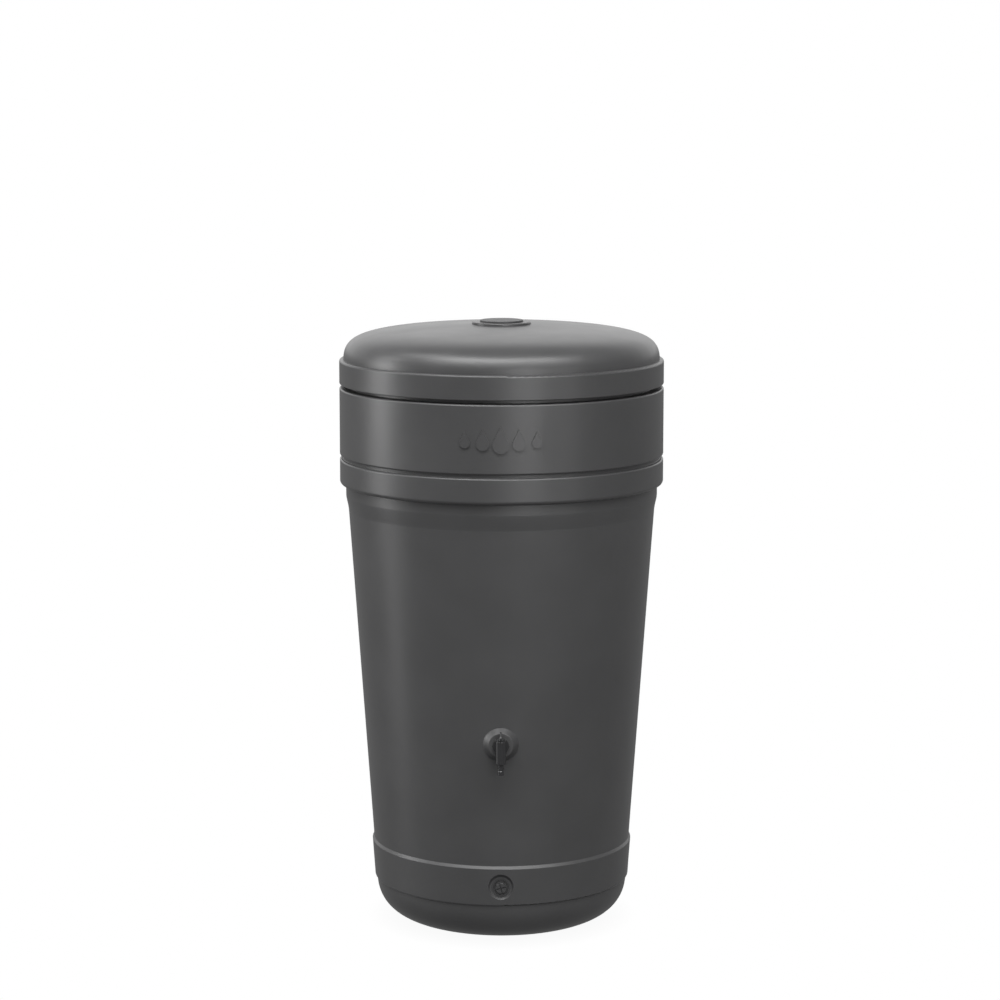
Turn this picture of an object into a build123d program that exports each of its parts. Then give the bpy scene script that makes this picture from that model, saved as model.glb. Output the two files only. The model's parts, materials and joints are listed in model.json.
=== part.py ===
from build123d import *
import math
import os

# Rain barrel with a lift-off domed lid, an inlet cap, a lever tap and a drain plug.
# Millimetres. +Z is up, the barrel stands on Z = 0 about the Z axis, and its tap faces -Y.

# ---- Fits and gaps
SEAT_GAP = 0.3          # between a lifted-off piece and what it rests on
RUNNING = 0.05          # radial play of a turning fit
THREAD_PLAY = 0.05      # radial play of a screwed fit
SKIRT_PLAY = 1.0        # radial play of the lid's skirt in the mouth
CAP_PLAY = 0.5          # radial play of the cap's skirt in the inlet

# ---- Barrel
WALL = 4.0              # moulded wall
COLLAR_RADIUS = 290.0   # all three collar bands
MOUTH_STEP = 18.0       # mouth ring inside the collar, which makes the upper groove's depth
MOUTH_STAND = 46.2      # height of the mouth ring over the collar
NAME_BAND_HEIGHT = 120.5
GROOVE_HEIGHT = 6.5
GROOVE_DEPTH = 6.0
HOOP_HEIGHT = 46.3      # lowest collar band
BAND_EDGE = 3.2         # rounding of the collar bands' edges
HOOP_EDGE = 7.0         # rounding under the lowest collar band
NECK_STEP = 10.7        # neck inside the collar
NECK_HEIGHT = 18.8
SHOULDER_HEIGHT = 27.6
SHOULDER_STEP = 4.7     # top of the tapered wall inside the neck
BODY_FOOT_RADIUS = 232.1
BODY_HEIGHT = 606.9     # tapered wall, from the shoulder down to the foot band
FOOT_BAND_HEIGHT = 68.0
FOOT_BAND_STEP = 3.4
FOOT_BAND_CHAMFER = 5.0
FOOT_BAND_EDGE = 4.5
FOOT_UNDERCUT = 3.6     # rounded base inside the foot band
BASE_HEIGHT = 75.5
BASE_ROUND = 93.4       # width of the base's rounding
BASE_FULLNESS = 0.626   # share of the base's width and height that its curve's handles take
STANDING_RING = 16.0    # width of the ring that the barrel stands on
BASE_RECESS = 6.0
CORNER = 1.0            # small roundings

# ---- Raised emblem: a row of plain water drops
DROP_HEIGHTS = (28.0, 36.0, 46.0, 36.0, 28.0)
DROP_PITCH = 31.0
DROP_RELIEF = 3.0

# ---- Lid
LID_WALL = 3.5
LID_BAND_HEIGHT = 43.0
LID_BAND_EDGE = 4.0
DOME_STEP = 7.5         # dome inside the lid's band
DOME_HEIGHT = 64.9
DOME_FALL = 0.06        # slope of the dome under the inlet platform
DOME_FLATNESS = 0.8     # share of the radius that the dome's flat handle takes
DOME_FULLNESS = 0.85    # share of the height that the dome's upright handle takes
SKIRT_LENGTH = 40.0
PLATFORM_LEDGE = 17.6   # width of the inlet platform around the inlet
PLATFORM_EDGE = 2.0     # rounding of the inlet platform's upper edge
PLATFORM_RISE = 1.1     # top of the inlet platform over the dome's crown
INLET_RADIUS = 35.0
INLET_COLLAR_DEPTH = 16.0
INLET_COLLAR_WALL = 3.5

# ---- Inlet cap
CAP_OVERLAP = 3.5       # cap past the inlet's edge
CAP_THICKNESS = 2.6
CAP_SKIRT_LENGTH = 12.0
CAP_SKIRT_WALL = 2.5
CAP_RIB_COUNT = 4
CAP_RIB_THICKNESS = 2.0
CAP_RIB_DEPTH = 6.0

# ---- Tap
TAP_HEIGHT = 372.0
BOSS_BASE_RADIUS = 30.0
BOSS_FACE_RADIUS = 21.5
BOSS_STAND = 13.0
BOSS_EDGE = 1.2
TAIL_RADIUS = 10.45     # half-inch pipe thread, over its crests
TAIL_HOLE_PLAY = 0.3
PIPE_PITCH = 1.814
THREAD_DEPTH = 0.9
TAIL_BORE = 4.5
WASHER_WIDTH = 4.0
WASHER_THICKNESS = 2.0
HEX_ACROSS_FLATS = 26.4
HEX_THICKNESS = 5.0
BACK_NUT_ACROSS_FLATS = 27.0
BACK_NUT_THICKNESS = 8.0
TAIL_SPARE = 3.0        # thread showing past the back nut
NECK_TUBE_RADIUS = 8.0
CHAMBER_WALL = 3.0      # around the cock
CHAMBER_REACH = 11.0    # chamber's axis in front of the hex
CHAMBER_ABOVE = 12.0    # chamber's top over the tap's axis
CHAMBER_BELOW = 29.0
COCK_RADIUS = 6.0
COCK_PORT = 3.6
SHOULDER_LIFT = 6.0     # cock's seat over the chamber's underside
O_RING_SECTION = 1.0    # half of the sealing ring's thickness
O_RING_OFFSET = 7.0     # sealing rings over and under the port
GLAND_THICKNESS = 3.0
STEM_RADIUS = 4.0
STEM_SQUARE = 5.4       # across the stem's square end
STEM_STAND = 2.8        # square end above the chamber
SPIGOT_LENGTH = 19.0
SPIGOT_SHANK = 4.8
SPIGOT_RING = 5.7
SPIGOT_RING_DROP = 7.3  # ring's middle under the chamber
SPIGOT_LAND = 5.5
SPIGOT_LAND_LENGTH = 7.0
SPIGOT_BORE = 3.0

# ---- Tap handle
HANDLE_CLEARANCE = 0.6  # fin over the hex and the chamber
HANDLE_THICKNESS = 3.6
HANDLE_REACH = 13.5
HANDLE_HEIGHT = 15.7
HANDLE_TIP_HEIGHT = 7.4
HANDLE_CROWN = 3.0      # half of the straight top
HUB_RADIUS = 7.8
HUB_ROOF = 1.4          # hub over the stem's end

# ---- Drain
DISH_FLOOR_WIDTH = 2.7  # floor around the insert's flange
DISH_SLOPE_WIDTH = 4.0
DISH_DEPTH = 4.0
SEAT_DEPTH = 4.6        # face of the insert under the foot band's surface
INSERT_FLANGE_WIDTH = 3.5
INSERT_FLANGE_THICKNESS = 4.0
INSERT_RIM = 3.2        # ring around the recess for the plug's collar
INSERT_RECESS_DEPTH = 1.5
INSERT_WALL = 5.0       # around the plug's thread
INSERT_LENGTH = 20.0
DRAIN_BOSS_WALL = 3.4   # around the dish
DRAIN_BOSS_DEPTH = 13.0
PLUG_THREAD_RADIUS = 8.0
PLUG_PITCH = 2.0
PLUG_THREAD_LENGTH = 16.0
PLUG_HEX_ACROSS_FLATS = 17.4
PLUG_HEX_HEIGHT = 6.0
PLUG_COLLAR_WIDTH = 2.4
PLUG_COLLAR_THICKNESS = 1.2
PLUG_TURN = 15.0        # degrees that the screwed-in plug stands off upright
SLOT_WIDTH = 2.2
SLOT_DEPTH = 4.0
GASKET_WIDTH = 3.4
GASKET_THICKNESS = 1.2

# ---- Heights and places that follow
FOOT_BOTTOM = BASE_HEIGHT
FOOT_TOP = FOOT_BOTTOM + FOOT_BAND_HEIGHT
SHOULDER_BOTTOM = FOOT_TOP + BODY_HEIGHT
NECK_BOTTOM = SHOULDER_BOTTOM + SHOULDER_HEIGHT
HOOP_BOTTOM = NECK_BOTTOM + NECK_HEIGHT
HOOP_TOP = HOOP_BOTTOM + HOOP_HEIGHT
NAME_BAND_BOTTOM = HOOP_TOP + GROOVE_HEIGHT
COLLAR_TOP = NAME_BAND_BOTTOM + NAME_BAND_HEIGHT
MOUTH_TOP = COLLAR_TOP + MOUTH_STAND
LID_LEDGE = MOUTH_TOP + SEAT_GAP
LID_TOP = LID_LEDGE + LID_WALL
LID_BOTTOM = LID_TOP - LID_BAND_HEIGHT
CROWN = LID_TOP + DOME_HEIGHT
PLATFORM_TOP = CROWN + PLATFORM_RISE
DRAIN_HEIGHT = FOOT_BOTTOM + FOOT_BAND_HEIGHT / 2

# ---- Radii that follow
MOUTH_RADIUS = COLLAR_RADIUS - MOUTH_STEP
NECK_RADIUS = COLLAR_RADIUS - NECK_STEP
BODY_TOP_RADIUS = NECK_RADIUS - SHOULDER_STEP
TAPER = (BODY_TOP_RADIUS - BODY_FOOT_RADIUS) / BODY_HEIGHT
BASE_RADIUS = BODY_FOOT_RADIUS - TAPER * FOOT_BAND_HEIGHT + FOOT_BAND_STEP - FOOT_UNDERCUT
BASE_FLAT_RADIUS = BASE_RADIUS - BASE_ROUND
DOME_RADIUS = COLLAR_RADIUS - DOME_STEP
PLATFORM_RADIUS = INLET_RADIUS + PLATFORM_LEDGE
CAP_RADIUS = INLET_RADIUS + CAP_OVERLAP
WASHER_RADIUS = TAIL_RADIUS + WASHER_WIDTH
CHAMBER_RADIUS = COCK_RADIUS + CHAMBER_WALL
INSERT_RADIUS = PLUG_THREAD_RADIUS + INSERT_WALL
INSERT_FLANGE_RADIUS = INSERT_RADIUS + INSERT_FLANGE_WIDTH
DISH_FLOOR_RADIUS = INSERT_FLANGE_RADIUS + DISH_FLOOR_WIDTH
DISH_RADIUS = DISH_FLOOR_RADIUS + DISH_SLOPE_WIDTH
DRAIN_BOSS_RADIUS = DISH_RADIUS + DRAIN_BOSS_WALL
PLUG_COLLAR_RADIUS = PLUG_THREAD_RADIUS + PLUG_COLLAR_WIDTH
GASKET_RADIUS = PLUG_THREAD_RADIUS + GASKET_WIDTH


def body_radius(height):
    """Outside radius of the tapered wall at a height."""
    return BODY_FOOT_RADIUS + TAPER * (height - FOOT_TOP)


def foot_radius(height):
    """Outside radius of the foot band at a height."""
    return body_radius(height) + FOOT_BAND_STEP


def facing_front(radius, height):
    """Plane at the front of the barrel whose normal points out of the wall."""
    return Plane(origin=(0, -radius, height), x_dir=(1, 0, 0), z_dir=(0, -1, 0))


def line_of(corners, close=False):
    """Line through (radius, height, rounding) corners; the two free ends keep no rounding."""
    rounded = corners if close else corners[1:-1]
    return FilletPolyline([c[:2] for c in corners], radius=[c[2] for c in rounded], close=close)


def spin(lines):
    """Turn the closed outline that the lines make, radius along X and height along Y, about Z."""
    return revolve(Plane.XZ * make_face(lines), Axis.Z)


def lathe(*corners):
    """Turned solid from its closed outline of (radius, height, rounding) corners."""
    return spin(line_of(corners, close=True).edges())


def disc(radius, bottom, top):
    """Plain round plug from bottom to top."""
    return Pos(0, 0, bottom) * Cylinder(radius, top - bottom, align=(Align.CENTER, Align.CENTER, Align.MIN))


def ring(inner, outer, bottom, top, edge=0.0):
    """Flat ring with rounded edges."""
    return lathe((inner, bottom, edge), (outer, bottom, edge), (outer, top, edge), (inner, top, edge))


def hexagon(across_flats, bottom, top, edge):
    """Six-sided prism with its points along X, chamfered on both faces."""
    prism = extrude(RegularPolygon(across_flats / 2, 6, major_radius=False), top - bottom)
    corner = across_flats / math.sqrt(3)
    cone = lathe(
        (0, 0, 0),
        (corner - edge, 0, 0),
        (corner, edge * 0.6, 0),
        (corner, top - bottom - edge * 0.6, 0),
        (corner - edge, top - bottom, 0),
        (0, top - bottom, 0),
    )
    return Pos(0, 0, bottom) * (prism & cone)


def threaded(crest, depth, pitch, bottom, top):
    """Round shank with evenly spaced thread crests."""
    count = int((top - bottom) / pitch)
    outline = [(0, bottom), (crest - depth, bottom)]
    for turn in range(count):
        start = bottom + turn * pitch
        outline += [
            (crest, start + pitch * 0.4),
            (crest, start + pitch * 0.6),
            (crest - depth, start + pitch),
        ]
    outline += [(crest - depth, top), (0, top)]
    return spin(Polyline(outline, close=True).edges())


def barrel_form(skin, mouth_height):
    """Outside of the barrel moved inwards by skin, filled solid up to mouth_height."""
    top_stretch = line_of([
        (0, mouth_height, 0),
        (MOUTH_RADIUS - skin, mouth_height, CORNER),
        (MOUTH_RADIUS - skin, COLLAR_TOP - skin, CORNER),
        (COLLAR_RADIUS - skin, COLLAR_TOP - skin, BAND_EDGE),
        (COLLAR_RADIUS - skin, NAME_BAND_BOTTOM + skin, BAND_EDGE),
        (COLLAR_RADIUS - GROOVE_DEPTH - skin, NAME_BAND_BOTTOM + skin, CORNER),
        (COLLAR_RADIUS - GROOVE_DEPTH - skin, HOOP_TOP - skin, CORNER),
        (COLLAR_RADIUS - skin, HOOP_TOP - skin, BAND_EDGE),
        (COLLAR_RADIUS - skin, HOOP_BOTTOM + skin, HOOP_EDGE),
        (NECK_RADIUS - skin, HOOP_BOTTOM + skin, CORNER),
        (NECK_RADIUS - skin, NECK_BOTTOM, 0),
    ])
    third = SHOULDER_HEIGHT / 3
    shoulder = Bezier(
        (NECK_RADIUS - skin, NECK_BOTTOM),
        (NECK_RADIUS - skin, NECK_BOTTOM - third),
        (BODY_TOP_RADIUS - skin + TAPER * third, SHOULDER_BOTTOM + third),
        (BODY_TOP_RADIUS - skin, SHOULDER_BOTTOM),
    )
    chamfer_top = FOOT_TOP + FOOT_BAND_CHAMFER - skin
    chamfer_foot = FOOT_TOP - skin
    ledge = FOOT_BOTTOM + skin
    foot_edge = min(FOOT_BAND_EDGE, foot_radius(ledge) - BASE_RADIUS - CORNER / 10)
    middle_stretch = line_of([
        (BODY_TOP_RADIUS - skin, SHOULDER_BOTTOM, 0),
        (body_radius(chamfer_top) - skin, chamfer_top, CORNER),
        (foot_radius(chamfer_foot) - skin, chamfer_foot, CORNER),
        (foot_radius(ledge) - skin, ledge, foot_edge),
        (BASE_RADIUS - skin, ledge, 0),
    ])
    width = BASE_RADIUS - skin - BASE_FLAT_RADIUS
    drop = ledge - skin
    base = Bezier(
        (BASE_RADIUS - skin, ledge),
        (BASE_RADIUS - skin, ledge - drop * BASE_FULLNESS),
        (BASE_FLAT_RADIUS + width * BASE_FULLNESS, skin),
        (BASE_FLAT_RADIUS, skin),
    )
    recess_radius = BASE_FLAT_RADIUS - STANDING_RING + skin
    underside = line_of([
        (BASE_FLAT_RADIUS, skin, 0),
        (recess_radius, skin, CORNER),
        (recess_radius, BASE_RECESS + skin, CORNER),
        (0, BASE_RECESS + skin, 0),
    ])
    axis_line = Line((0, BASE_RECESS + skin), (0, mouth_height))
    lines = [top_stretch, shoulder, middle_stretch, base, underside, axis_line]
    return spin([edge for line in lines for edge in line.edges()])


def water_drop(height):
    """Flat outline of a falling drop, round below and pointed above, centred on its height."""
    radius = height * 0.31
    centre = radius - height / 2
    round_end = Pos(0, centre) * Circle(radius)
    lean = math.acos(radius / (height - radius))
    side = radius * math.sin(lean)
    touch = centre + radius * math.cos(lean)
    point = make_face(Polyline((-side, touch), (side, touch), (0, height / 2), close=True))
    return round_end + point


def emblem():
    """Row of raised drops that follows the collar's curve."""
    height = (NAME_BAND_BOTTOM + COLLAR_TOP) / 2
    skin = disc(COLLAR_RADIUS + DROP_RELIEF, NAME_BAND_BOTTOM, COLLAR_TOP)
    skin -= disc(COLLAR_RADIUS - WALL / 2, NAME_BAND_BOTTOM, COLLAR_TOP)
    front = facing_front(COLLAR_RADIUS - 2 * DROP_PITCH, height)
    middle = (len(DROP_HEIGHTS) - 1) / 2
    drops = [
        front * extrude(Pos((place - middle) * DROP_PITCH, 0) * water_drop(drop), 3 * DROP_PITCH)
        for place, drop in enumerate(DROP_HEIGHTS)
    ]
    return [drop & skin for drop in drops]


# Distances out of the wall at the tap: 0 is the tapered wall's surface.
BOSS_SEAT = BOSS_STAND - WALL                       # inner face of the boss
HEX_BACK = BOSS_STAND + WASHER_THICKNESS
HEX_FACE = HEX_BACK + HEX_THICKNESS
CHAMBER_AXIS = HEX_FACE + CHAMBER_REACH
NUT_BACK = BOSS_SEAT - WASHER_THICKNESS - BACK_NUT_THICKNESS
TAP_PLANE = facing_front(body_radius(TAP_HEIGHT), TAP_HEIGHT)
VALVE_AXIS = Pos(0, -body_radius(TAP_HEIGHT) - CHAMBER_AXIS, TAP_HEIGHT)

# Distances out of the wall at the drain: 0 is the foot band's surface.
DRAIN_PLANE = facing_front(foot_radius(DRAIN_HEIGHT), DRAIN_HEIGHT)
GASKET_BACK = -SEAT_DEPTH - INSERT_RECESS_DEPTH
GASKET_FACE = GASKET_BACK + GASKET_THICKNESS
INSERT_BACK = -SEAT_DEPTH - INSERT_LENGTH


def tap_boss():
    """Cone that carries the tap, from inside the wall to its flat face."""
    slope = (BOSS_BASE_RADIUS - BOSS_FACE_RADIUS) / BOSS_STAND
    root = BOSS_BASE_RADIUS + slope * WALL
    return lathe(
        (0, -WALL, 0),
        (root, -WALL, 0),
        (BOSS_FACE_RADIUS, BOSS_STAND, BOSS_EDGE),
        (0, BOSS_STAND, 0),
    )


def tap_boss_hollow():
    """Space behind the boss where the back nut sits, and the hole for the tap's tail."""
    slope = (BOSS_BASE_RADIUS - BOSS_FACE_RADIUS) / BOSS_STAND
    seat_radius = BOSS_FACE_RADIUS - WALL / 2
    depth = BOSS_SEAT + 3 * WALL
    hollow = lathe(
        (0, BOSS_SEAT - depth, 0),
        (seat_radius + slope * depth, BOSS_SEAT - depth, 0),
        (seat_radius, BOSS_SEAT, CORNER),
        (0, BOSS_SEAT, 0),
    )
    return hollow + disc(TAIL_RADIUS + TAIL_HOLE_PLAY, BOSS_SEAT - CORNER, BOSS_STAND + CORNER)


def drain_dish():
    """Shallow dish in the foot band, the seat of the insert and the hole through the boss."""
    rim = DISH_RADIUS + DISH_SLOPE_WIDTH
    dish = lathe(
        (0, -DISH_DEPTH, 0),
        (DISH_FLOOR_RADIUS, -DISH_DEPTH, CORNER),
        (rim, DISH_DEPTH, 0),
        (0, DISH_DEPTH, 0),
    )
    flange_back = -SEAT_DEPTH - INSERT_FLANGE_THICKNESS
    seat = disc(INSERT_FLANGE_RADIUS, flange_back, 0)
    return dish + seat + disc(INSERT_RADIUS, INSERT_BACK - WALL, flange_back)


def barrel_shell():
    """One moulded barrel: wall, collar bands, emblem, tap boss and drain dish."""
    outside = barrel_form(0, MOUTH_TOP) + TAP_PLANE * tap_boss() + emblem()
    inside = barrel_form(WALL, MOUTH_TOP + WALL)
    drain_boss = DRAIN_PLANE * disc(DRAIN_BOSS_RADIUS, -DRAIN_BOSS_DEPTH, -WALL / 2)
    drain_boss &= barrel_form(WALL / 2, MOUTH_TOP)
    shell = outside - inside + drain_boss
    return shell - TAP_PLANE * tap_boss_hollow() - DRAIN_PLANE * drain_dish()


def dome_lines(radius, crown):
    """Dome's curve from the axis out to the level of the lid's top."""
    rise = crown - LID_TOP
    reach = radius * DOME_FLATNESS
    return Bezier(
        (0, crown),
        (reach, crown - reach * DOME_FALL),
        (radius, LID_TOP + rise * DOME_FULLNESS),
        (radius, LID_TOP),
    )


def lid_shell():
    """Domed lid with its band, its skirt, the channel for the mouth ring and the inlet platform."""
    skirt_outer = MOUTH_RADIUS - WALL - SKIRT_PLAY
    skirt_inner = skirt_outer - LID_WALL
    skirt_bottom = LID_LEDGE - SKIRT_LENGTH
    dome_inner = DOME_RADIUS - LID_WALL
    outline = [
        dome_lines(DOME_RADIUS, CROWN),
        line_of([
            (DOME_RADIUS, LID_TOP, 0),
            (COLLAR_RADIUS, LID_TOP, LID_BAND_EDGE),
            (COLLAR_RADIUS, LID_BOTTOM, LID_WALL / 2 - 0.1),
            (COLLAR_RADIUS - LID_WALL, LID_BOTTOM, CORNER),
            (COLLAR_RADIUS - LID_WALL, LID_LEDGE, CORNER),
            (skirt_outer, LID_LEDGE, CORNER),
            (skirt_outer, skirt_bottom, CORNER),
            (skirt_inner, skirt_bottom, CORNER),
            (skirt_inner, LID_TOP, CORNER),
            (dome_inner, LID_TOP, 0),
        ]),
        dome_lines(dome_inner, CROWN - LID_WALL),
        Line((0, CROWN - LID_WALL), (0, CROWN)),
    ]
    cover = spin([edge for line in outline for edge in line.edges()])
    platform = lathe(
        (0, CROWN - LID_WALL, 0),
        (PLATFORM_RADIUS, CROWN - LID_WALL, 0),
        (PLATFORM_RADIUS, PLATFORM_TOP, PLATFORM_EDGE),
        (0, PLATFORM_TOP, 0),
    )
    collar = disc(INLET_RADIUS + INLET_COLLAR_WALL, PLATFORM_TOP - INLET_COLLAR_DEPTH, PLATFORM_TOP - CORNER)
    hollow = ring(
        INLET_RADIUS + INLET_COLLAR_WALL,
        PLATFORM_RADIUS - LID_WALL,
        CROWN - 2 * LID_WALL,
        PLATFORM_TOP - LID_WALL,
    )
    lid = cover + platform - hollow + collar
    inlet = lathe(
        (0, PLATFORM_TOP - 2 * INLET_COLLAR_DEPTH, 0),
        (INLET_RADIUS, PLATFORM_TOP - 2 * INLET_COLLAR_DEPTH, 0),
        (INLET_RADIUS, PLATFORM_TOP - CORNER, 0),
        (INLET_RADIUS + 2 * CORNER, PLATFORM_TOP + CORNER, 0),
        (0, PLATFORM_TOP + CORNER, 0),
    )
    return lid - inlet


def inlet_cap():
    """Flat cap with a ribbed skirt that drops into the inlet."""
    underside = PLATFORM_TOP + SEAT_GAP
    top = underside + CAP_THICKNESS
    skirt_outer = INLET_RADIUS - CAP_PLAY
    skirt_inner = skirt_outer - CAP_SKIRT_WALL
    skirt_bottom = underside - CAP_SKIRT_LENGTH
    cap = lathe(
        (0, top, 0),
        (CAP_RADIUS, top, CORNER),
        (CAP_RADIUS, underside, CORNER / 2),
        (skirt_outer, underside, 0),
        (skirt_outer, skirt_bottom, CORNER),
        (skirt_inner, skirt_bottom, CORNER),
        (skirt_inner, underside, CORNER),
        (0, underside, 0),
    )
    bar = Box(2 * skirt_inner + CAP_SKIRT_WALL, CAP_RIB_THICKNESS, CAP_RIB_DEPTH)
    for index in range(CAP_RIB_COUNT // 2):
        cap += Pos(0, 0, underside - CAP_RIB_DEPTH / 2) * Rot(0, 0, index * 360 / CAP_RIB_COUNT) * bar
    return cap


def tap_body():
    """Threaded tail, hex, neck, upright valve chamber and barbed spigot in one moulding."""
    tail = threaded(TAIL_RADIUS, THREAD_DEPTH, PIPE_PITCH, NUT_BACK - TAIL_SPARE, HEX_BACK)
    along = tail + hexagon(HEX_ACROSS_FLATS, HEX_BACK, HEX_FACE, 1.5)
    along += disc(NECK_TUBE_RADIUS, HEX_FACE - CORNER, CHAMBER_AXIS)
    spigot_end = -CHAMBER_BELOW - SPIGOT_LENGTH
    ring_middle = -CHAMBER_BELOW - SPIGOT_RING_DROP
    upright = lathe(
        (0, CHAMBER_ABOVE, 0),
        (CHAMBER_RADIUS, CHAMBER_ABOVE, CORNER),
        (CHAMBER_RADIUS, -CHAMBER_BELOW, CORNER * 2),
        (SPIGOT_SHANK, -CHAMBER_BELOW, 0),
        (SPIGOT_SHANK, ring_middle + 1.2, 0),
        (SPIGOT_RING, ring_middle + 0.8, 0),
        (SPIGOT_RING, ring_middle - 0.8, 0),
        (SPIGOT_SHANK, ring_middle - 1.2, 0),
        (SPIGOT_SHANK, spigot_end + SPIGOT_LAND_LENGTH + CORNER, 0),
        (SPIGOT_LAND, spigot_end + SPIGOT_LAND_LENGTH, 0),
        (SPIGOT_LAND, spigot_end, CORNER * 0.6),
        (0, spigot_end, 0),
    )
    body = TAP_PLANE * along + VALVE_AXIS * upright
    chamber = disc(COCK_RADIUS, SHOULDER_LIFT - CHAMBER_BELOW, CHAMBER_ABOVE + CORNER)
    outlet = disc(SPIGOT_BORE, spigot_end - CORNER, SHOULDER_LIFT - CHAMBER_BELOW)
    inlet = disc(TAIL_BORE, NUT_BACK - TAIL_SPARE - CORNER, CHAMBER_AXIS)
    return body - VALVE_AXIS * (chamber + outlet) - TAP_PLANE * inlet


def valve_cock():
    """Turning cock with its side port, its bore down to the spigot and its stem."""
    radius = COCK_RADIUS - RUNNING
    seat = SHOULDER_LIFT - CHAMBER_BELOW + RUNNING
    top = CHAMBER_ABOVE - GLAND_THICKNESS - RUNNING
    cock = disc(radius, seat, top)
    cock += disc(STEM_RADIUS - RUNNING, top, CHAMBER_ABOVE)
    end = Box(STEM_SQUARE, STEM_SQUARE, 2 * STEM_STAND)
    cock += Pos(0, 0, CHAMBER_ABOVE) * end
    for offset in (-O_RING_OFFSET, O_RING_OFFSET):
        cock -= ring(radius - O_RING_SECTION, radius + 1, offset - O_RING_SECTION, offset + O_RING_SECTION)
    cock -= disc(SPIGOT_BORE, seat - CORNER, 0)
    port = Rot(-90, 0, 0) * disc(COCK_PORT, 0, 2 * COCK_RADIUS)
    return VALVE_AXIS * (cock - port)


def cock_seals():
    """Two sealing rings in the cock's grooves."""
    inner = COCK_RADIUS - RUNNING - O_RING_SECTION
    outer = COCK_RADIUS - RUNNING / 2
    half = O_RING_SECTION - RUNNING
    edge = (outer - inner) / 2 - RUNNING
    seals = [
        VALVE_AXIS * ring(inner, outer, offset - half, offset + half, edge)
        for offset in (-O_RING_OFFSET, O_RING_OFFSET)
    ]
    return Compound(children=seals)


def gland_ring():
    """Ring pressed into the chamber's mouth, which keeps the cock in."""
    return VALVE_AXIS * ring(STEM_RADIUS, COCK_RADIUS, CHAMBER_ABOVE - GLAND_THICKNESS, CHAMBER_ABOVE)


def tap_handle():
    """Upright fin on a round hub, in line with the tap's inlet."""
    bottom = max(HEX_ACROSS_FLATS / 2, CHAMBER_ABOVE) + HANDLE_CLEARANCE
    crest = CHAMBER_ABOVE + HANDLE_HEIGHT
    tip = bottom + HANDLE_TIP_HEIGHT
    hub_bottom = CHAMBER_ABOVE + SEAT_GAP
    stem_top = CHAMBER_ABOVE + STEM_STAND + RUNNING
    hub_top = stem_top + HUB_ROOF
    tip_round = HANDLE_TIP_HEIGHT / 2 - RUNNING
    corners = [
        (-HANDLE_REACH, bottom, tip_round),
        (-HANDLE_REACH, tip, tip_round),
        (-HANDLE_CROWN, crest, HANDLE_CROWN),
        (HANDLE_CROWN, crest, HANDLE_CROWN),
        (HANDLE_REACH, tip, tip_round),
        (HANDLE_REACH, bottom, tip_round),
    ]
    outline = Plane.YZ * make_face(line_of(corners, close=True))
    fin = extrude(outline, HANDLE_THICKNESS / 2, both=True)
    fin = chamfer(fin.faces().sort_by(Axis.X)[0].edges(), CORNER / 2)
    fin = chamfer(fin.faces().sort_by(Axis.X)[-1].edges(), CORNER / 2)
    hub = lathe(
        (0, hub_bottom, 0),
        (HUB_RADIUS, hub_bottom, 0),
        (HUB_RADIUS, hub_top, CORNER),
        (0, hub_top, 0),
    )
    across = STEM_SQUARE + 2 * RUNNING
    socket = Pos(0, 0, CHAMBER_ABOVE) * Box(across, across, 2 * (stem_top - CHAMBER_ABOVE))
    return VALVE_AXIS * (fin + hub - socket)


def tap_outer_washer():
    """Rubber washer between the hex and the boss."""
    return TAP_PLANE * ring(TAIL_RADIUS, WASHER_RADIUS, BOSS_STAND, HEX_BACK, 0.4)


def tap_inner_washer():
    """Rubber washer between the back nut and the inside of the boss."""
    return TAP_PLANE * ring(TAIL_RADIUS, WASHER_RADIUS, BOSS_SEAT - WASHER_THICKNESS, BOSS_SEAT, 0.4)


def tap_back_nut():
    """Nut that clamps the tap from inside the barrel."""
    nut = hexagon(BACK_NUT_ACROSS_FLATS, NUT_BACK, NUT_BACK + BACK_NUT_THICKNESS, 1.5)
    bore = disc(TAIL_RADIUS + THREAD_PLAY, NUT_BACK - CORNER, NUT_BACK + BACK_NUT_THICKNESS + CORNER)
    return TAP_PLANE * (nut - bore)


def drain_insert():
    """Threaded insert moulded into the foot band, with its flange in the dish."""
    flange_back = -SEAT_DEPTH - INSERT_FLANGE_THICKNESS
    bore = PLUG_THREAD_RADIUS + THREAD_PLAY
    recess = INSERT_FLANGE_RADIUS - INSERT_RIM
    return DRAIN_PLANE * lathe(
        (bore, INSERT_BACK, CORNER / 2),
        (INSERT_RADIUS, INSERT_BACK, CORNER),
        (INSERT_RADIUS, flange_back, 0),
        (INSERT_FLANGE_RADIUS, flange_back, 0),
        (INSERT_FLANGE_RADIUS, -SEAT_DEPTH, CORNER / 2),
        (recess, -SEAT_DEPTH, CORNER / 2),
        (recess, GASKET_BACK, CORNER / 2),
        (bore, GASKET_BACK, CORNER / 2),
    )


def drain_gasket():
    """Rubber ring under the plug's collar."""
    inner = PLUG_THREAD_RADIUS + THREAD_PLAY
    return DRAIN_PLANE * ring(inner, GASKET_RADIUS, GASKET_BACK, GASKET_FACE, 0.3)


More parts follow.
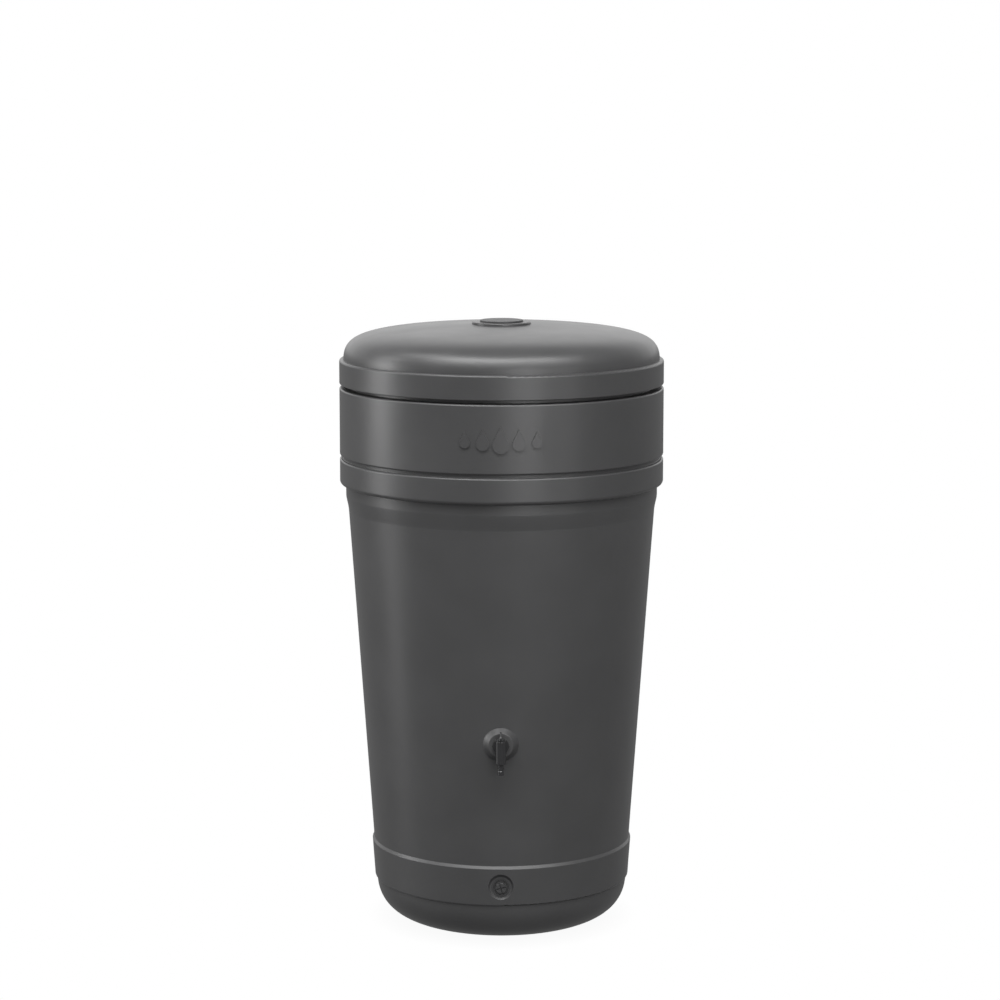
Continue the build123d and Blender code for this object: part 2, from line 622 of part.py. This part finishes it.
def drain_plug():
    """Threaded plug with a collar and a hex head that a cross slot runs through."""
    hex_back = GASKET_FACE + PLUG_COLLAR_THICKNESS
    hex_face = hex_back + PLUG_HEX_HEIGHT
    tip = GASKET_FACE - PLUG_THREAD_LENGTH
    plug = threaded(PLUG_THREAD_RADIUS, THREAD_DEPTH, PLUG_PITCH, tip, GASKET_FACE)
    plug += disc(PLUG_COLLAR_RADIUS, GASKET_FACE, hex_back)
    plug += hexagon(PLUG_HEX_ACROSS_FLATS, hex_back - RUNNING, hex_face, 1.2)
    slot = Box(2 * PLUG_COLLAR_RADIUS, SLOT_WIDTH, 2 * SLOT_DEPTH)
    for turn in (0, 90):
        plug -= Pos(0, 0, hex_face) * Rot(0, 0, turn) * slot
    return DRAIN_PLANE * Rot(0, 0, PLUG_TURN) * plug


PIECES = (
    barrel_shell,
    lid_shell,
    inlet_cap,
    tap_body,
    valve_cock,
    cock_seals,
    gland_ring,
    tap_handle,
    tap_outer_washer,
    tap_inner_washer,
    tap_back_nut,
    drain_insert,
    drain_gasket,
    drain_plug,
)

os.makedirs("parts", exist_ok=True)
for piece in PIECES:
    export_step(piece(), f"parts/{piece.__name__}.step")
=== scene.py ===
import json
import math

import bmesh
import bpy
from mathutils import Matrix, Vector


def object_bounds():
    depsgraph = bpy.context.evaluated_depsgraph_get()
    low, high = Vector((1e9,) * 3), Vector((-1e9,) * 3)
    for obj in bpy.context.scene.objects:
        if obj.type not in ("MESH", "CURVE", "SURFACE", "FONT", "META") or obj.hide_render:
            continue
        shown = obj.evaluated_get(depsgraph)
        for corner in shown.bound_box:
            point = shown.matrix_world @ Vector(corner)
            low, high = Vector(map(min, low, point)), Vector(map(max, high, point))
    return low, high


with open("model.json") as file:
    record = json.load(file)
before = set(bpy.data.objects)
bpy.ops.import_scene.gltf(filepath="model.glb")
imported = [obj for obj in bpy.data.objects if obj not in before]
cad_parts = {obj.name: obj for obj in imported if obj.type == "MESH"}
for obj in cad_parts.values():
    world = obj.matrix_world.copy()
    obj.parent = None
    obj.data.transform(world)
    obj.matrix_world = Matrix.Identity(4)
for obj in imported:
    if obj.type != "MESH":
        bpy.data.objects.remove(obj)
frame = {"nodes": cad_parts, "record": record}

# Rain barrel of dark grey moulded plastic: finishes, floor, light and camera.
# Metres, +Z up, and the tap faces -Y.

CAD_LOW, CAD_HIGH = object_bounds()
NODES = frame["nodes"]
WHITE = (1.0, 1.0, 1.0)


# ---------------------------------------------------------------- node helpers
def put(tree, kind, **values):
    """A node of that kind, with its properties."""
    node = tree.nodes.new(kind)
    for name, value in values.items():
        setattr(node, name, value)
    return node


def join(tree, source, target):
    tree.links.new(source, target)


def math_node(tree, operation, first, second=None, third=None, clamp=False):
    """Maths on sockets or plain numbers; returns the result's socket."""
    node = put(tree, "ShaderNodeMath", operation=operation, use_clamp=clamp)
    for index, value in enumerate((first, second, third)):
        if value is None:
            continue
        if hasattr(value, "is_linked"):
            join(tree, value, node.inputs[index])
        else:
            node.inputs[index].default_value = value
    return node.outputs[0]


def ramp(tree, value, low, high, start=0.0, end=1.0):
    """Value carried from low..high to start..end, held at both ends."""
    node = put(tree, "ShaderNodeMapRange")
    join(tree, value, node.inputs["Value"])
    node.inputs["From Min"].default_value = low
    node.inputs["From Max"].default_value = high
    node.inputs["To Min"].default_value = start
    node.inputs["To Max"].default_value = end
    return node.outputs["Result"]


def noise(tree, place, scale, detail, roughness=0.5):
    """Cloudy noise over the object's own space."""
    node = put(tree, "ShaderNodeTexNoise")
    join(tree, place, node.inputs["Vector"])
    node.inputs["Scale"].default_value = scale
    node.inputs["Detail"].default_value = detail
    node.inputs["Roughness"].default_value = roughness
    return node.outputs["Fac"]


def group(name, inputs, outputs):
    """An empty shader group with float or colour sockets; returns tree, input node and output node."""
    tree = bpy.data.node_groups.new(name, "ShaderNodeTree")
    for label, kind, value in inputs:
        socket = tree.interface.new_socket(label, in_out="INPUT", socket_type=kind)
        socket.default_value = value
    for label, kind in outputs:
        tree.interface.new_socket(label, in_out="OUTPUT", socket_type=kind)
    return tree, put(tree, "NodeGroupInput"), put(tree, "NodeGroupOutput")


# ---------------------------------------------------------------- shared effects
def make_moulded_grain():
    """Spark-eroded mould texture: fine height, with slow changes of gloss and tint."""
    tree, given, made = group(
        "moulded_grain",
        [
            ("Grain Size", "NodeSocketFloat", 0.0012),
            ("Cloud Size", "NodeSocketFloat", 0.12),
        ],
        [
            ("Height", "NodeSocketFloat"),
            ("Cloud", "NodeSocketFloat"),
            ("Speckle", "NodeSocketFloat"),
        ],
    )
    place = put(tree, "ShaderNodeTexCoord").outputs["Object"]
    fine = put(tree, "ShaderNodeTexNoise")
    join(tree, place, fine.inputs["Vector"])
    join(tree, math_node(tree, "DIVIDE", 1.0, given.outputs["Grain Size"]), fine.inputs["Scale"])
    fine.inputs["Detail"].default_value = 2.0
    pits = put(tree, "ShaderNodeTexVoronoi", feature="SMOOTH_F1")
    join(tree, place, pits.inputs["Vector"])
    join(tree, math_node(tree, "DIVIDE", 0.7, given.outputs["Grain Size"]), pits.inputs["Scale"])
    height = math_node(tree, "MULTIPLY_ADD", pits.outputs["Distance"], 0.5, fine.outputs["Fac"])
    join(tree, height, made.inputs["Height"])
    cloud = put(tree, "ShaderNodeTexNoise")
    join(tree, place, cloud.inputs["Vector"])
    join(tree, math_node(tree, "DIVIDE", 1.0, given.outputs["Cloud Size"]), cloud.inputs["Scale"])
    cloud.inputs["Detail"].default_value = 5.0
    cloud.inputs["Roughness"].default_value = 0.55
    join(tree, cloud.outputs["Fac"], made.inputs["Cloud"])
    speckle = noise(tree, place, 900.0, 1.0)
    join(tree, ramp(tree, speckle, 0.62, 0.74), made.inputs["Speckle"])
    return tree


def make_edge_wear():
    """Mask of rubbed outer edges, broken up by noise."""
    tree, given, made = group(
        "edge_wear",
        [("Width", "NodeSocketFloat", 0.002), ("Patchiness", "NodeSocketFloat", 0.5)],
        [("Mask", "NodeSocketFloat")],
    )
    place = put(tree, "ShaderNodeTexCoord").outputs["Object"]
    rounded = put(tree, "ShaderNodeBevel", samples=4)
    join(tree, given.outputs["Width"], rounded.inputs["Radius"])
    true_normal = put(tree, "ShaderNodeNewGeometry").outputs["Normal"]
    turned = put(tree, "ShaderNodeVectorMath", operation="DOT_PRODUCT")
    join(tree, rounded.outputs["Normal"], turned.inputs[0])
    join(tree, true_normal, turned.inputs[1])
    bend = ramp(tree, turned.outputs["Value"], 0.995, 0.88)
    patches = ramp(tree, noise(tree, place, 60.0, 4.0, 0.6), 0.35, 0.65)
    kept = math_node(tree, "SUBTRACT", 1.0, given.outputs["Patchiness"])
    broken = math_node(tree, "MULTIPLY_ADD", patches, given.outputs["Patchiness"], kept)
    join(tree, math_node(tree, "MULTIPLY", bend, broken, clamp=True), made.inputs["Mask"])
    return tree


def make_dust():
    """Thin dust on what faces up and marks where water ran down."""
    tree, given, made = group(
        "dust_and_runs",
        [("Dust", "NodeSocketFloat", 0.2), ("Runs", "NodeSocketFloat", 0.2)],
        [("Mask", "NodeSocketFloat")],
    )
    place = put(tree, "ShaderNodeTexCoord").outputs["Object"]
    split = put(tree, "ShaderNodeSeparateXYZ")
    join(tree, put(tree, "ShaderNodeNewGeometry").outputs["Normal"], split.inputs[0])
    upward = ramp(tree, split.outputs["Z"], 0.3, 1.0)
    cloud = ramp(tree, noise(tree, place, 14.0, 6.0, 0.62), 0.42, 0.72)
    patches = math_node(tree, "MULTIPLY", upward, cloud)
    settled = math_node(tree, "MULTIPLY", patches, given.outputs["Dust"])
    stretch = put(tree, "ShaderNodeMapping")
    join(tree, place, stretch.inputs["Vector"])
    stretch.inputs["Scale"].default_value = (1.0, 1.0, 0.06)
    streak = ramp(tree, noise(tree, stretch.outputs["Vector"], 45.0, 3.0, 0.5), 0.55, 0.8)
    runs = math_node(tree, "MULTIPLY", streak, given.outputs["Runs"])
    join(tree, math_node(tree, "ADD", settled, runs, clamp=True), made.inputs["Mask"])
    return tree


GRAIN = make_moulded_grain()
EDGE_WEAR = make_edge_wear()
DUST = make_dust()


def effect(tree, shared, **values):
    """One shared effect placed in a material, with its own values."""
    node = put(tree, "ShaderNodeGroup")
    node.node_tree = shared
    for name, value in values.items():
        node.inputs[name.replace("_", " ")].default_value = value
    return node


def tint(tree, base, other, mask):
    """Base colour carried towards the other by a mask."""
    node = put(tree, "ShaderNodeMix", data_type="RGBA")
    for socket, value in ((node.inputs["A"], base), (node.inputs["B"], other)):
        if hasattr(value, "is_linked"):
            join(tree, value, socket)
        else:
            socket.default_value = (*value, 1.0)
    join(tree, mask, node.inputs["Factor"])
    return node.outputs["Result"]


# ---------------------------------------------------------------- finishes
def moulded_plastic(name, colour, gloss, grain=0.0012, relief=0.00002, wear=0.3, cloud=0.12):
    """Moulded plastic: grained skin, slow tint and gloss changes, rubbed edges and a little dust."""
    material = bpy.data.materials.new(name)
    material.use_nodes = True
    tree = material.node_tree
    tree.nodes.clear()
    shader = put(tree, "ShaderNodeBsdfPrincipled")
    out = put(tree, "ShaderNodeOutputMaterial")
    join(tree, shader.outputs[0], out.inputs["Surface"])
    shader.inputs["IOR"].default_value = 1.5

    skin = effect(tree, GRAIN, Grain_Size=grain, Cloud_Size=cloud)
    edges = effect(tree, EDGE_WEAR, Width=0.0016, Patchiness=0.5)
    dirt = effect(tree, DUST, Dust=0.1, Runs=0.0)

    darker = tuple(c * 0.93 for c in colour)
    lighter = tuple(c * 1.07 for c in colour)
    rubbed = tuple(c * 1.6 + 0.012 for c in colour)
    pale = tuple(0.75 * c + 0.06 for c in colour)
    clouded = tint(tree, darker, lighter, ramp(tree, skin.outputs["Cloud"], 0.3, 0.7))
    speckled = tint(tree, clouded, rubbed, math_node(tree, "MULTIPLY", skin.outputs["Speckle"], 0.06))
    worn = tint(tree, speckled, rubbed, math_node(tree, "MULTIPLY", edges.outputs["Mask"], wear))
    join(tree, tint(tree, worn, pale, dirt.outputs["Mask"]), shader.inputs["Base Color"])

    even = ramp(tree, skin.outputs["Cloud"], 0.3, 0.7, gloss - 0.025, gloss + 0.025)
    dull = math_node(tree, "MULTIPLY_ADD", dirt.outputs["Mask"], 0.3, even)
    polished = math_node(tree, "MULTIPLY_ADD", edges.outputs["Mask"], -0.08 * wear, dull, clamp=True)
    join(tree, polished, shader.inputs["Roughness"])

    bump = put(tree, "ShaderNodeBump")
    bump.inputs["Strength"].default_value = 1.0
    bump.inputs["Distance"].default_value = relief
    join(tree, skin.outputs["Height"], bump.inputs["Height"])
    join(tree, bump.outputs["Normal"], shader.inputs["Normal"])
    return material


BARREL_GREY = (0.0405, 0.0405, 0.0413)
BARREL_FINISH = moulded_plastic("anthracite_barrel", BARREL_GREY, 0.36)
LID_FINISH = moulded_plastic("anthracite_lid", BARREL_GREY, 0.36)
CAP_FINISH = moulded_plastic("dark_grey_cap", (0.038, 0.038, 0.039), 0.5)
TAP_BLACK = (0.017, 0.017, 0.018)
TAP_FINISH = moulded_plastic("black_tap", TAP_BLACK, 0.2, grain=0.0006, relief=0.00001, cloud=0.03)
HANDLE_FINISH = moulded_plastic("black_handle", TAP_BLACK, 0.18, grain=0.0006, relief=0.00001, cloud=0.03)
DRAIN_GREY = (0.03, 0.03, 0.031)
INSERT_FINISH = moulded_plastic("dark_insert", DRAIN_GREY, 0.42, grain=0.0006, cloud=0.03)
PLUG_FINISH = moulded_plastic("dark_plug", DRAIN_GREY, 0.42, grain=0.0006, cloud=0.03)
RUBBER = (0.012, 0.012, 0.012)
RUBBER_FINISH = moulded_plastic("black_rubber", RUBBER, 0.7, grain=0.0005, wear=0.1, cloud=0.02)

FINISHES = {
    "barrel_plastic": BARREL_FINISH,
    "lid_plastic": LID_FINISH,
    "cap_plastic": CAP_FINISH,
    "tap_plastic": TAP_FINISH,
    "handle_plastic": HANDLE_FINISH,
    "insert_plastic": INSERT_FINISH,
    "plug_plastic": PLUG_FINISH,
    "seal_rubber": RUBBER_FINISH,
}


def finish_cad_nodes():
    """Each CAD node takes the finish of its slot in the record."""
    for part in frame["record"]["subparts"]:
        for slot in NODES[part["node"]].material_slots:
            slot.material = FINISHES[part["material_slot"]]


finish_cad_nodes()


# ---------------------------------------------------------------- floor, light and camera
FLOOR_SIZE = 30.0
FLOOR_GAP = 0.0005       # floor under the barrel's standing ring
# grey of the painted contact shadow on the glowing floor
FLOOR_SHADOW_GREY = (0.94, 0.94, 0.94)


def make_floor():
    """Wide pale floor that shines evenly, with a painted shadow that darkens it only close to the barrel.
    """
    mesh = bpy.data.meshes.new("studio_floor")
    work = bmesh.new()
    bmesh.ops.create_grid(work, x_segments=4, y_segments=4, size=FLOOR_SIZE / 2)
    work.to_mesh(mesh)
    work.free()
    floor = bpy.data.objects.new("studio_floor", mesh)
    bpy.context.collection.objects.link(floor)
    floor.location.z = CAD_LOW.z - FLOOR_GAP
    material = bpy.data.materials.new("pale_floor")
    material.use_nodes = True
    tree = material.node_tree
    tree.nodes.clear()
    # painted contact shadow: ambient occlusion darkens the floor's glow to a light grey near the barrel
    painted_shadow = put(tree, "ShaderNodeAmbientOcclusion", samples=8)
    painted_shadow.inputs["Distance"].default_value = 0.05
    glow = put(tree, "ShaderNodeEmission")
    pale = tint(tree, FLOOR_SHADOW_GREY, WHITE, ramp(tree, painted_shadow.outputs["AO"], 0.0, 0.9))
    join(tree, pale, glow.inputs["Color"])
    out = put(tree, "ShaderNodeOutputMaterial")
    join(tree, glow.outputs[0], out.inputs["Surface"])
    mesh.materials.append(material)
    floor.visible_diffuse = False
    floor.visible_glossy = False


SOFTBOXES = (
    # name, azimuth and elevation in degrees from the barrel, width, height, watts
    ("left_low", -90, -12, 0.9, 1.4, 6.0),
    ("left_middle", -90, 8, 1.2, 1.4, 45.0),
    ("left_high", -92, 30, 0.9, 1.4, 23.0),
    ("left_overhead", -90, 60, 1.6, 1.6, 21.0),
    ("front_left_overhead", -45, 60, 1.6, 1.6, 57.0),
    ("front_overhead", 0, 60, 1.6, 1.6, 46.0),
    ("front_right_overhead", 45, 60, 1.6, 1.6, 42.0),
    ("front_near", 12, 8, 0.9, 1.4, 16.0),
    ("front_middle", 22, 8, 0.9, 1.4, 16.0),
    ("front_far", 45, 8, 0.9, 1.4, 8.6),
)
SOFTBOX_DISTANCE = 4.0
SOFTBOX_AIM = Vector((0.0, 0.0, 0.6))


def softbox(name, azimuth, elevation, width, height, power):
    """Rectangular light that faces the barrel; azimuth 0 is in front of the tap, 90 to the right."""
    turn, lift = math.radians(azimuth), math.radians(elevation)
    away = Vector((math.sin(turn) * math.cos(lift), -math.cos(turn) * math.cos(lift), math.sin(lift)))
    light = bpy.data.lights.new(name, "AREA")
    light.shape = "RECTANGLE"
    light.size = width
    light.size_y = height
    light.energy = power
    lamp = bpy.data.objects.new(name, light)
    bpy.context.collection.objects.link(lamp)
    lamp.location = SOFTBOX_AIM + SOFTBOX_DISTANCE * away
    lamp.rotation_euler = (-away).to_track_quat("-Z", "Y").to_euler()
    lamp.visible_camera = False


def smooth(tree, value, low, high):
    """Value eased from 0 at low to 1 at high."""
    node = put(tree, "ShaderNodeMapRange", interpolation_type="SMOOTHSTEP")
    join(tree, value, node.inputs["Value"])
    node.inputs["From Min"].default_value = low
    node.inputs["From Max"].default_value = high
    return node.outputs["Result"]


ROOM_LIGHT = 0.298
BACK_WALL_LIGHT = 1.05
FRONT_CEILING_LIGHT = 3.52


def make_world():
    """White to the camera; on the barrel, a dim room with a bright back wall and a bright front ceiling."""
    world = bpy.data.worlds.new("studio")
    world.use_nodes = True
    tree = world.node_tree
    tree.nodes.clear()
    split = put(tree, "ShaderNodeSeparateXYZ")
    join(tree, put(tree, "ShaderNodeTexCoord").outputs["Generated"], split.inputs[0])
    back = smooth(tree, split.outputs["Y"], 0.3, 0.9)
    over_floor = smooth(tree, split.outputs["Z"], -0.05, 0.1)
    under_ceiling = smooth(tree, split.outputs["Z"], 0.75, 0.3)
    upright = math_node(tree, "MULTIPLY", over_floor, under_ceiling)
    wall = math_node(tree, "MULTIPLY", back, upright)
    front = smooth(tree, split.outputs["Y"], -0.2, -0.6)
    ceiling = math_node(tree, "MULTIPLY", front, smooth(tree, split.outputs["Z"], 0.3, 0.7))
    room = math_node(tree, "MULTIPLY_ADD", wall, BACK_WALL_LIGHT, ROOM_LIGHT)
    strength = math_node(tree, "MULTIPLY_ADD", ceiling, FRONT_CEILING_LIGHT, room)
    lit = put(tree, "ShaderNodeBackground")
    lit.inputs["Color"].default_value = (*WHITE, 1.0)
    join(tree, strength, lit.inputs["Strength"])
    seen = put(tree, "ShaderNodeBackground")
    seen.inputs["Color"].default_value = (*WHITE, 1.0)
    mix = put(tree, "ShaderNodeMixShader")
    join(tree, put(tree, "ShaderNodeLightPath").outputs["Is Camera Ray"], mix.inputs["Fac"])
    join(tree, lit.outputs[0], mix.inputs[1])
    join(tree, seen.outputs[0], mix.inputs[2])
    out = put(tree, "ShaderNodeOutputWorld")
    join(tree, mix.outputs[0], out.inputs["Surface"])
    bpy.context.scene.world = world


LENS_PER_WIDTH = 3.0368
CAMERA_PLACE = (0.0248, -5.4054, 1.5806)
CAMERA_PITCH = math.radians(8.594)
CAMERA_TURN = 0.0051


def make_camera():
    """Long lens, a little above the lid and looking slightly down."""
    camera = bpy.data.cameras.new("camera")
    camera.sensor_width = 36.0
    camera.lens = LENS_PER_WIDTH * camera.sensor_width
    camera.clip_end = 100.0
    seat = bpy.data.objects.new("camera", camera)
    bpy.context.collection.objects.link(seat)
    seat.location = CAMERA_PLACE
    seat.rotation_euler = (math.pi / 2 - CAMERA_PITCH, 0.0, CAMERA_TURN)
    bpy.context.scene.camera = seat


make_floor()
make_world()
for box in SOFTBOXES:
    softbox(*box)
make_camera()
bpy.context.scene.view_settings.view_transform = "Standard"
